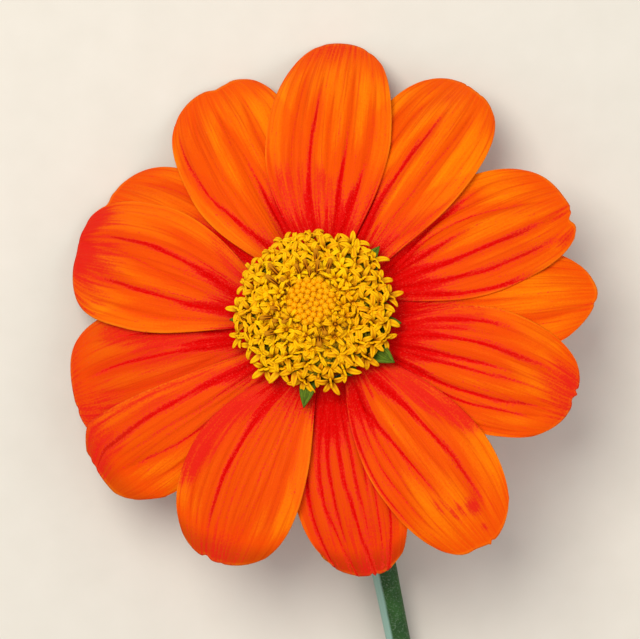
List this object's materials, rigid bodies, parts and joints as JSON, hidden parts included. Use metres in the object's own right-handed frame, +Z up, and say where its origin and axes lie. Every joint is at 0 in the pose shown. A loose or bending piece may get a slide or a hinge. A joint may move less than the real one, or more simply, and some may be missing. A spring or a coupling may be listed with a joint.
{
  "type": "mexican sunflower",
  "caption": "Picked single flower with broad overlapping orange ray petals, a domed yellow disc of small florets, green bracts and a curved cut stem, laid down facing up.",
  "frame": {"origin": "centre of the flower's bounding box, on the surface that it lies on", "axes": "+Z up, the way the flower head faces; the stem runs towards -Y and the head is at +Y"},
  "size_m": [0.0787, 0.1198, 0.0292],
  "materials": {
    "petal": "satin",
    "floret": "matte",
    "bud": "matte",
    "scale": "matte",
    "bract": "matte",
    "stem": "satin"
  },
  "bodies": {
    "root": {"peduncle": "stem", "ray_petal_01": "petal", "ray_petal_02": "petal", "ray_petal_03": "petal", "ray_petal_04": "petal", "ray_petal_05": "petal", "ray_petal_06": "petal", "ray_petal_07": "petal", "ray_petal_08": "petal", "ray_petal_09": "petal", "ray_petal_10": "petal", "ray_petal_11": "petal", "ray_petal_12": "petal", "ray_petal_13": "petal", "inner_bract_01": "bract", "inner_bract_02": "bract", "inner_bract_03": "bract", "inner_bract_04": "bract", "inner_bract_05": "bract", "inner_bract_06": "bract", "inner_bract_07": "bract", "inner_bract_08": "bract", "outer_bract_01": "bract", "outer_bract_02": "bract", "outer_bract_03": "bract", "outer_bract_04": "bract", "outer_bract_05": "bract", "scale_tips": "scale", "open_florets": "floret", "central_buds": "bud"}
  },
  "joints": []
}
